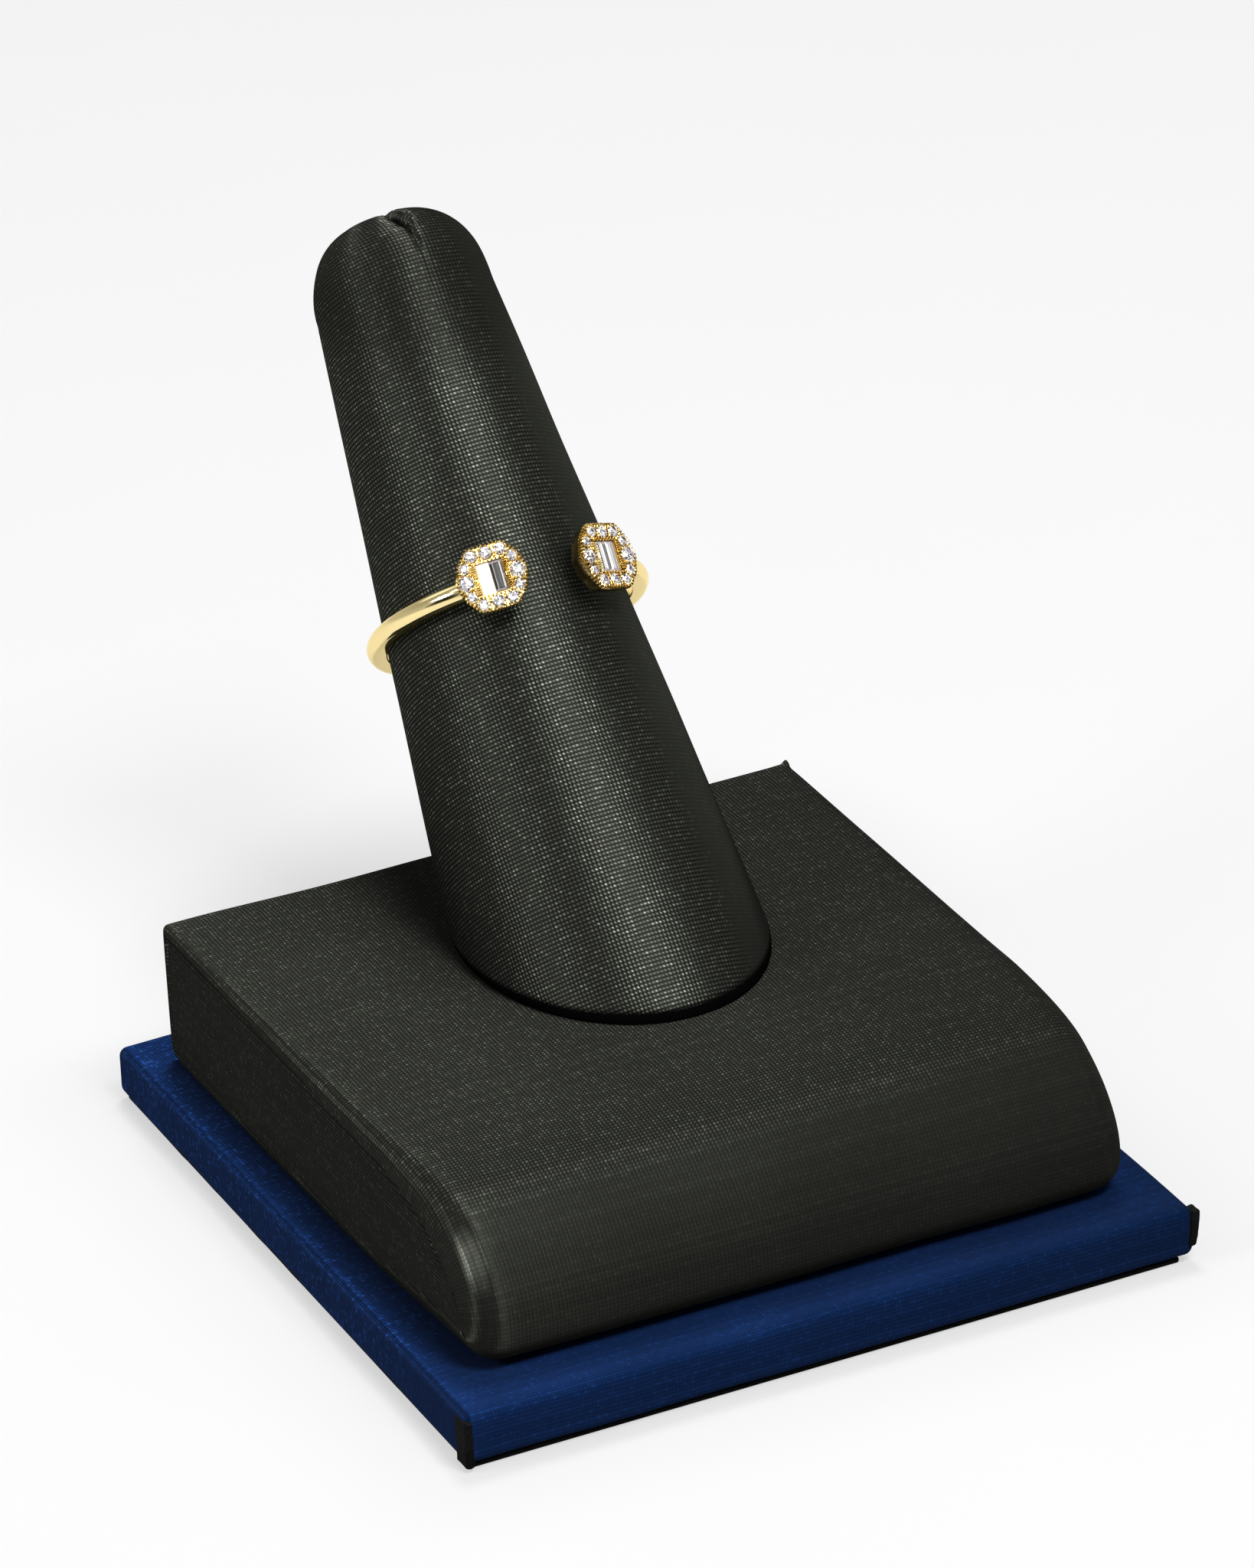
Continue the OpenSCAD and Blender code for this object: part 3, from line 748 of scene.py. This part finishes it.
def make_finger():
    """The cone's cloth: a rolled foot, the straight taper, and the tip with its slit."""
    theta = finger_columns()
    sin_l, cos_l = math.sin(math.radians(LEAN)), math.cos(math.radians(LEAN))
    alpha = math.atan(TAPER)
    apex = FINGER_R / TAPER
    foot, gap = 1.2, 0.05
    uv = []
    # theta 0 of the cloth is the front middle line, its seam the back one
    front = theta + math.pi / 2

    def thread(radius_share, slant):
        angle = np.append(front, front[0] + 2 * math.pi) * math.sin(alpha)
        return np.stack([radius_share * slant * np.sin(angle), -slant * np.cos(angle)], 1)

    def foot_ring(height, inset):
        """Points of the cone at one height over the pad, drawn in horizontally by inset."""
        h = (height + FINGER_R * np.sin(theta) * sin_l) / (cos_l + TAPER * np.sin(theta) * sin_l)
        r = FINGER_R - TAPER * h
        p = np.stack([r * np.cos(theta), r * np.sin(theta), h], 1)
        world = place(ON_FINGER, p)
        centre = world.mean(0)
        out = world[:, :2] - centre[:2]
        # The cut is an ellipse, so its outward direction leans to the short axis
        spread = out.max(0)
        normal = out / spread ** 2
        normal /= np.linalg.norm(normal, axis=1)[:, None]
        world[:, :2] -= normal * inset
        return world, h

    rows = []
    for angle in np.linspace(0, 90, 8)[:-1]:
        height = foot * (1 - math.cos(math.radians(angle))) + gap
        inset = foot * (1 - math.sin(math.radians(angle)))
        world, h = foot_ring(height, inset * 0.5)
        rows.append(world)
        uv.append(thread(1.0, np.append(apex - h, apex - h[0]) / math.cos(alpha)))
    _, h_start = foot_ring(foot + gap, 0)
    steps = 96
    for k in range(steps):
        h = h_start + (FINGER_LEN - h_start) * k / steps
        r = FINGER_R - TAPER * h
        r = r + 0.035 * smooth_noise(theta * 9, h, 3, 14)
        rows.append(place(ON_FINGER, np.stack([r * np.cos(theta), r * np.sin(theta), h], 1)))
        uv.append(thread(1.0, np.append(apex - h, apex - h[0]) / math.cos(alpha)))
    slant = (apex - FINGER_LEN) / math.cos(alpha)
    travelled, before = 0.0, (TIP_R, 0.0)
    for a in np.radians(np.concatenate([np.linspace(0, 30, 12), np.linspace(30, 89.6, 46)[1:]])):
        r, z = TIP_R * math.cos(a) ** (2 / TIP_POWER), TIP_H * math.sin(a) ** (2 / TIP_POWER)
        travelled += math.dist((r, z), before)
        before = (r, z)
        p = np.stack([r * np.cos(theta), r * np.sin(theta), np.full(len(theta), FINGER_LEN + z)], 1)
        rows.append(place(ON_FINGER, tip_shape(p, z)))
        uv.append(thread(r / TIP_R, slant - travelled))
    stack = np.concatenate(rows)
    grid, corners = grid_faces(len(rows), len(theta), True)
    uvs = [tuple(uv[j][i]) for corner in corners for j, i in corner]
    last = len(stack) - len(theta)
    grid.append(tuple(range(last, len(stack))))
    uvs += [tuple(uv[-1][i]) for i in range(len(theta))]
    grid.append(tuple(range(len(theta)))[::-1])
    uvs += [tuple(uv[0][i]) for i in range(len(theta))][::-1]
    piece = make_piece("finger_sleeve", stack, grid, uvs, sharp=70)
    piece.data.materials.append(CLOTH_FINGER)
    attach(piece, "root")
    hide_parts("finger")


def tip_shape(p, z):
    """The end's cloth meets along a slit up the front and over the top, deepest in a small dark hole."""
    x, y = p[:, 0], p[:, 1]
    outward = np.stack([x / TIP_R ** 2, y / TIP_R ** 2, np.full(len(x), z / TIP_H ** 2)], 1)
    outward /= np.linalg.norm(outward, axis=1)[:, None]
    # Depth of the slit along its run, by place from the back of the top (positive y) to the front
    run = np.array([-6.7, -6.3, -5.6, -4.8, -4.2, -3.2, -2.2, -1.0, 0.4, 1.6])
    deep = np.array([0.0, 0.2, 0.5, 1.2, 1.6, 1.3, 1.1, 0.9, 0.45, 0.0])
    wide = np.array([0.12, 0.16, 0.22, 0.42, 0.46, 0.34, 0.30, 0.28, 0.25, 0.2])
    depth, width = np.interp(y, run, deep), np.interp(y, run, wide)
    wobble = 0.06 * np.sin(y * 9.0) + 0.04 * np.sin(y * 21.0 + 1.0)
    off = x - wobble * (depth > 0.05)
    groove = depth * np.exp(-np.abs(off / width) ** 1.6)
    lobe = np.clip(depth / 0.7, 0, 1)
    right = -0.28 * lobe * np.exp(-np.abs(x) / 3.0) * (x > 0)
    left = -0.50 * lobe * np.exp(-np.abs(x) / 4.0) * (x <= 0)
    # The shoulder behind on the left is rounder than the one on the right
    rise = np.clip((z / TIP_H - 0.04) / 0.6, 0, 1)
    shoulder = -0.3 * np.clip((0.41 * y - 0.91 * x) / TIP_R, 0, 1) * rise ** 2 * (3 - 2 * rise)
    # Small gathers beside the slit
    gather = 0.035 * np.sin(y * 11.0) * lobe * np.exp(-((np.abs(x) - 0.6) / 0.5) ** 2)
    level = min(1.0, z / 1.2)
    return p + outward * ((right + left + gather) * level + shoulder - groove)[:, None]


make_finger()


# Board
def axis_cuts(half, radius, step):
    """Places along one side, close together where the edge is round."""
    flat = half - radius
    inner = np.linspace(-flat, flat, max(2, round(2 * flat / step)) + 1)
    edge = radius * np.tan(np.radians(np.linspace(0, 45, 5)[1:]))
    return np.concatenate([-(flat + edge)[::-1], inner, flat + edge])


def rounded_box(name, low, high, radius, step, warp):
    """A box with round edges as one welded mesh, with cloth coordinates that run on over its top edges.

    warp gives how far each point moves outward, from its place and its outward direction.
    """
    low, high = np.array(low, float), np.array(high, float)
    centre, half = (low + high) / 2, (high - low) / 2
    radius = min(radius, *half * 0.999)
    core = half - radius
    cuts = [axis_cuts(h, radius, step) for h in half]
    points, faces, uvs, count = [], [], [], 0
    for axis in range(3):
        for sign in (-1, 1):
            u_axis, v_axis = [(1, 2), (2, 0), (0, 1)][axis]
            cu, cv = cuts[u_axis], cuts[v_axis]
            grid = np.zeros((len(cv), len(cu), 3))
            grid[..., u_axis], grid[..., v_axis] = cu[None, :], cv[:, None]
            grid[..., axis] = sign * half[axis]
            flat = grid.reshape(-1, 3)
            clamped = np.clip(flat, -core, core)
            out = flat - clamped
            out /= np.linalg.norm(out, axis=1)[:, None]
            moved = clamped + radius * out + centre
            moved = moved + out * warp(moved, out)[:, None]
            sheet = flat[:, :2].copy()
            if axis < 2:
                sheet[:, axis] += sign * (half[2] - flat[:, 2])
            quads, _ = grid_faces(len(cv), len(cu), False)
            for q in quads:
                q = q if sign > 0 else q[::-1]
                faces.append(tuple(k + count for k in q))
                uvs += [tuple(sheet[k]) for k in q]
            points.append(moved)
            count += len(moved)
    piece = make_piece(name, np.concatenate(points), faces, uvs, sharp=0)
    weld(piece, 0.002)
    return piece


def make_board():
    """The blue board, the felt under it and the two strips at its front corners."""
    def board_cloth(p, out):
        """Slightly uneven cloth, drawn in at the lower front corner on the right."""
        corner = (np.clip((p[:, 0] - 26.9) / 1.6, 0, 1) * np.clip((2.1 - p[:, 2]) / 1.5, 0, 1)
                  * np.clip((-28.0 - p[:, 1]) / 1.5, 0, 1) * (np.abs(out[:, 1]) < 0.5))
        return 0.05 * smooth_noise(p[:, 0], p[:, 1] + p[:, 2], 21, 17) - 0.8 * corner

    board = rounded_box("board_wrap", (-BOARD_HALF_X, -BOARD_HALF_Y, BOARD_LOW),
                        (BOARD_HALF_X, BOARD_HALF_Y, BOARD_TOP), 0.75, 1.5, board_cloth)
    board.data.materials.append(CLOTH_BLUE)
    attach(board, "root")
    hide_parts("base_board")

    def felt_edge(p, out):
        """The felt's cut edge is uneven, its two faces are flat."""
        return 0.04 * smooth_noise(p[:, 0], p[:, 1], 8, 5) * (np.abs(out[:, 2]) < 0.5)

    base = rounded_box("board_underside", (-28.0, -30.3, 0.0), (27.4, 30.3, 0.48), 0.18, 2.0, felt_edge)
    base.data.materials.append(FELT)
    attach(base, "root")
    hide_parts("base_underside")

    def frayed(p, out):
        return 0.035 * smooth_noise(p[:, 0] * 3, p[:, 2] * 3 + p[:, 1] * 2, 31, 1.2)

    # Each strip's reach outward and inward of the board's side, its depth, and its lower and upper end
    corners = {"left": (0.09, 0.6, 1.6, 0.3, 3.98), "right": (0.36, 0.3, 1.05, 1.35, 4.2)}
    for name, side in SIDES.items():
        proud, reach, depth, foot, head = corners[name]
        outer = side * (BOARD_HALF_X + proud)
        inner = side * (BOARD_HALF_X - reach)
        low = (min(outer, inner), -BOARD_HALF_Y - 0.09, foot)
        high = (max(outer, inner), -BOARD_HALF_Y + depth, head)
        strip = rounded_box(f"corner_strip_{name}", low, high, 0.2, 0.3, frayed)
        if name == "right":
            # Its lower end is drawn in with the board's corner
            for vertex in strip.data.vertices:
                vertex.co.x -= 0.4 * MM * ((head * MM - vertex.co.z) / ((head - foot) * MM)) ** 2
        strip.data.materials.append(FELT)
        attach(strip, "root")
        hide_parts(f"corner_{name}")


make_board()


# Ring
def make_band():
    """A D-shaped polished band, open between the settings."""
    dome = 0.62 * BAND_W
    centre = BAND_OUTER - dome
    lift = math.degrees(math.asin(min(1.0, BAND_W / 2 * 0.93 / dome)))
    section = arc((centre, 0.0), dome, -lift, lift, 15)
    inner_r, half, soft = BAND_OUTER - BAND_T, BAND_W / 2, 0.14
    section += [(centre + 0.42, half * 0.985), (centre + 0.2, half)]
    section += arc((inner_r + soft, half - soft), soft, 90, 180, 5)
    section += arc((inner_r + soft, -half + soft), soft, 180, 270, 5)
    section += [(centre + 0.2, -half), (centre + 0.42, -half * 0.985)]
    section = np.array(section)
    angles = np.radians(np.linspace(BAND_OPEN - 90, 270 - BAND_OPEN, 181))
    # Worn, the band is pressed a little out of round
    rows = [np.stack([(section[:, 0] - 0.2 * abs(math.cos(a))) * math.cos(a), section[:, 0] * math.sin(a),
                      section[:, 1]], 1) for a in angles]
    stack = np.concatenate(rows)
    faces, _ = grid_faces(len(rows), len(section), True)
    faces.append(tuple(range(len(section))))
    faces.append(tuple(range(len(stack) - len(section), len(stack)))[::-1])
    piece = make_piece("cuff_band", place(ON_RING, stack), faces, sharp=50)
    weld(piece, 0.0005)
    piece.data.materials.append(GOLD_BAND)
    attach(piece, "root")
    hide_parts("cuff")


def outline(rim, step=12):
    """The settings' outline, tight round the halo stones' circles with rim to spare, anticlockwise."""
    discs = [(x, y, d / 2 + rim) for x, y, d in STONES]
    points = [(x + r * math.cos(math.radians(a)), y + r * math.sin(math.radians(a)))
              for x, y, r in discs for a in range(0, 360, step)]
    points.sort()

    def chain(ordered):
        hull = []
        for p in ordered:
            while len(hull) > 1 and ((hull[-1][0] - hull[-2][0]) * (p[1] - hull[-2][1])
                                     - (hull[-1][1] - hull[-2][1]) * (p[0] - hull[-2][0])) <= 1e-9:
                hull.pop()
            hull.append(p)
        return hull[:-1]

    return np.array(chain(points) + chain(points[::-1]))


def even_outline(rim, count):
    """count even places round the outline, each with its outward normal."""
    loop = outline(rim, 6)
    closed = np.vstack([loop, loop[:1]])
    reach = np.concatenate([[0], np.cumsum(np.linalg.norm(np.diff(closed, axis=0), axis=1))])

    def at(s):
        return np.array([np.interp(s % reach[-1], reach, closed[:, c]) for c in (0, 1)])

    places = []
    for k in range(count):
        s = reach[-1] * k / count
        along = at(s + 0.06) - at(s - 0.06)
        along /= np.linalg.norm(along)
        places.append((at(s), np.array([along[1], -along[0]])))
    return places


# The settings' plate has a drilled seat for each round stone and a recess for the pair of bars
PLATE_Z, RECESS_Z = -0.18, -0.9
RECESS_HALF_X, RECESS_HALF_Y = 1.035, 1.23
SEAT_SIDES, SEAT_GAP = 20, 0.01
# The wall stands a little inside the solid's outline, and its claws reach out to it
WALL_RIM = HEAD_RIM - 0.07


def circle(x, y, r):
    return arc((x, y), r, 0, 360, SEAT_SIDES + 1)[:-1]


def plate_parts(parts):
    """The setting's top: a plate with a drilled seat under each stone and the recess for the pair of bars."""
    outer = [tuple(p) for p in outline(WALL_RIM - 0.05)]
    recess = [(sx * RECESS_HALF_X, sy * RECESS_HALF_Y) for sx, sy in ((-1, -1), (1, -1), (1, 1), (-1, 1))]
    loops = [outer, recess] + [circle(x, y, d / 2 + SEAT_GAP) for x, y, d in STONES]
    points, loop_faces = [], []
    for loop in loops:
        loop_faces.append(list(range(len(points), len(points) + len(loop))))
        points += [Vector(p) for p in loop]
    verts, _, faces, _, _, origin = delaunay_2d_cdt(points, [], loop_faces, 0, 1e-6, True)
    # Only faces that belong to the outer loop alone are plate, the others are its holes
    keep = [tuple(f) for f, o in zip(faces, origin) if set(o) == {0}]
    parts.add([(v.x, v.y, PLATE_Z) for v in verts], keep)
    for x, y, d in STONES:
        rings = [(d / 2 + SEAT_GAP, PLATE_Z), (d / 2 + SEAT_GAP / 2, PLATE_Z - 0.05),
                 (0.16 * d, PLATE_Z - 0.52 * d)]
        p = np.concatenate([[(px, py, z) for px, py in circle(x, y, r)] for r, z in rings])
        f, _ = grid_faces(len(rings), SEAT_SIDES, True)
        f.append(tuple(range(len(p) - SEAT_SIDES, len(p))))
        parts.add(p, [q[::-1] for q in f])
    box = [(x, y, z) for z in (PLATE_Z, RECESS_Z) for x, y in recess]
    parts.add(box, [(0, 4, 5, 1), (1, 5, 6, 2), (2, 6, 7, 3), (3, 7, 4, 0), (4, 7, 6, 5)])


def wall_parts(parts):
    """The side wall, from under the plate to the finger, with soft edges."""
    levels = [(-0.05, PLATE_Z), (-0.01, PLATE_Z - 0.03), (0.0, PLATE_Z - 0.1), (-0.06, -0.7), (-0.16, -1.4),
              (-0.19, -1.46), (-0.24, -HEAD_H), (-0.7, -HEAD_H)]
    count, rings = 120, []
    for grow, z in levels:
        ring = [spot for spot, _ in even_outline(WALL_RIM + grow, count)]
        rings.append(np.column_stack([ring, np.full(count, z)]))
    p = np.concatenate(rings)
    f, _ = grid_faces(len(levels), count, True)
    f.append(tuple(range(len(p) - count, len(p))))
    parts.add(p, [q[::-1] for q in f])


CLAW_COUNT, CLAW_SIDES = 58, 7


def outer_claws(parts):
    """A comb of little claws up the wall's rim that bend in over the halo stones."""
    rng = random.Random(12)
    for p, normal in even_outline(WALL_RIM, CLAW_COUNT):
        gaps = [math.hypot(p[0] - x, p[1] - y) - d / 2 for x, y, d in STONES]
        between = sorted(gaps)[1] - min(gaps)
        thick = 0.082 + rng.uniform(-0.012, 0.012)
        # Only the claws between two stones reach far in
        lean = (0.38 if between < 0.3 else 0.13) + rng.uniform(-0.03, 0.03)
        top = 0.12 + rng.uniform(-0.03, 0.04)
        foot = -0.48 + rng.uniform(-0.04, 0.04)
        bends = ((-0.02, foot), (0.03, foot + 0.1), (0.05, -0.14), (0.0, top * 0.6), (-lean * 0.5, top),
                 (-lean, top * 0.7))
        parts.add(*capsule([(*(p + normal * out), z) for out, z in bends], thick, CLAW_SIDES))


def inner_claws(parts):
    """Beads between the halo stones and the bars, and the stacked claws at the bars' sides."""
    rng = random.Random(5)
    count = len(STONES)
    for i in range(count):
        (x0, y0, _), (x1, y1, _) = STONES[i], STONES[(i + 1) % count]
        mid = np.array([x0 + x1, y0 + y1]) / 2
        along = np.array([x1 - x0, y1 - y0])
        inward = np.array([along[1], -along[0]]) / np.linalg.norm(along)
        for reach, radius in ((0.2, 0.11), (0.4, 0.115)):
            parts.add(*bead((*(mid + inward * reach), 0.0), radius + rng.uniform(-0.01, 0.01), 0.17))
    for sign in (-1, 1):
        for x in np.linspace(-0.9, 0.9, 7):
            parts.add(*bead((x, sign * 1.30, -0.02), 0.085 + rng.uniform(-0.01, 0.01), 0.15))
        parts.add(*bead((sign * 1.19, 0.0, 0.0), 0.13, 0.14))
        for y in (-0.98, -0.80, -0.62, -0.44, -0.26, 0.26, 0.44, 0.62, 0.80, 0.98):
            wide = 0.36 if abs(y) > 0.5 else 0.2
            path = [(sign * (1.08 + wide), y, 0.03), (sign * (1.1 + wide / 2), y, 0.1), (sign * 1.0, y, 0.05)]
            parts.add(*capsule(path, 0.074 + rng.uniform(-0.006, 0.006), CLAW_SIDES))


def make_heads():
    """Each setting is two pieces, because its walls mirror the dark cloth and their gold is darkened as
    painted dark reflection and shade.
    """
    kinds = (("setting", (plate_parts, outer_claws, inner_claws), GOLD_HEAD_PAINTED_SHADE),
             ("setting_wall", (wall_parts,), GOLD_WALL_PAINTED_DARK))
    for name, side in SIDES.items():
        for title, makers, material in kinds:
            parts = Parts()
            for maker in makers:
                maker(parts)
            piece = parts.piece(f"{title}_{name}", on_head(side), sharp=40)
            piece.data.materials.append(material)
            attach(piece, "root")
            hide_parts("cuff")


def dress_stones():
    """The cut stones are the solids themselves, with flat facets."""
    for node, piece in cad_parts.items():
        if node.startswith("stone_") or node in BARS:
            piece.data.materials.clear()
            piece.data.materials.append(BARS.get(node, STONE))
            for polygon in piece.data.polygons:
                polygon.use_smooth = False


make_band()
make_heads()
dress_stones()
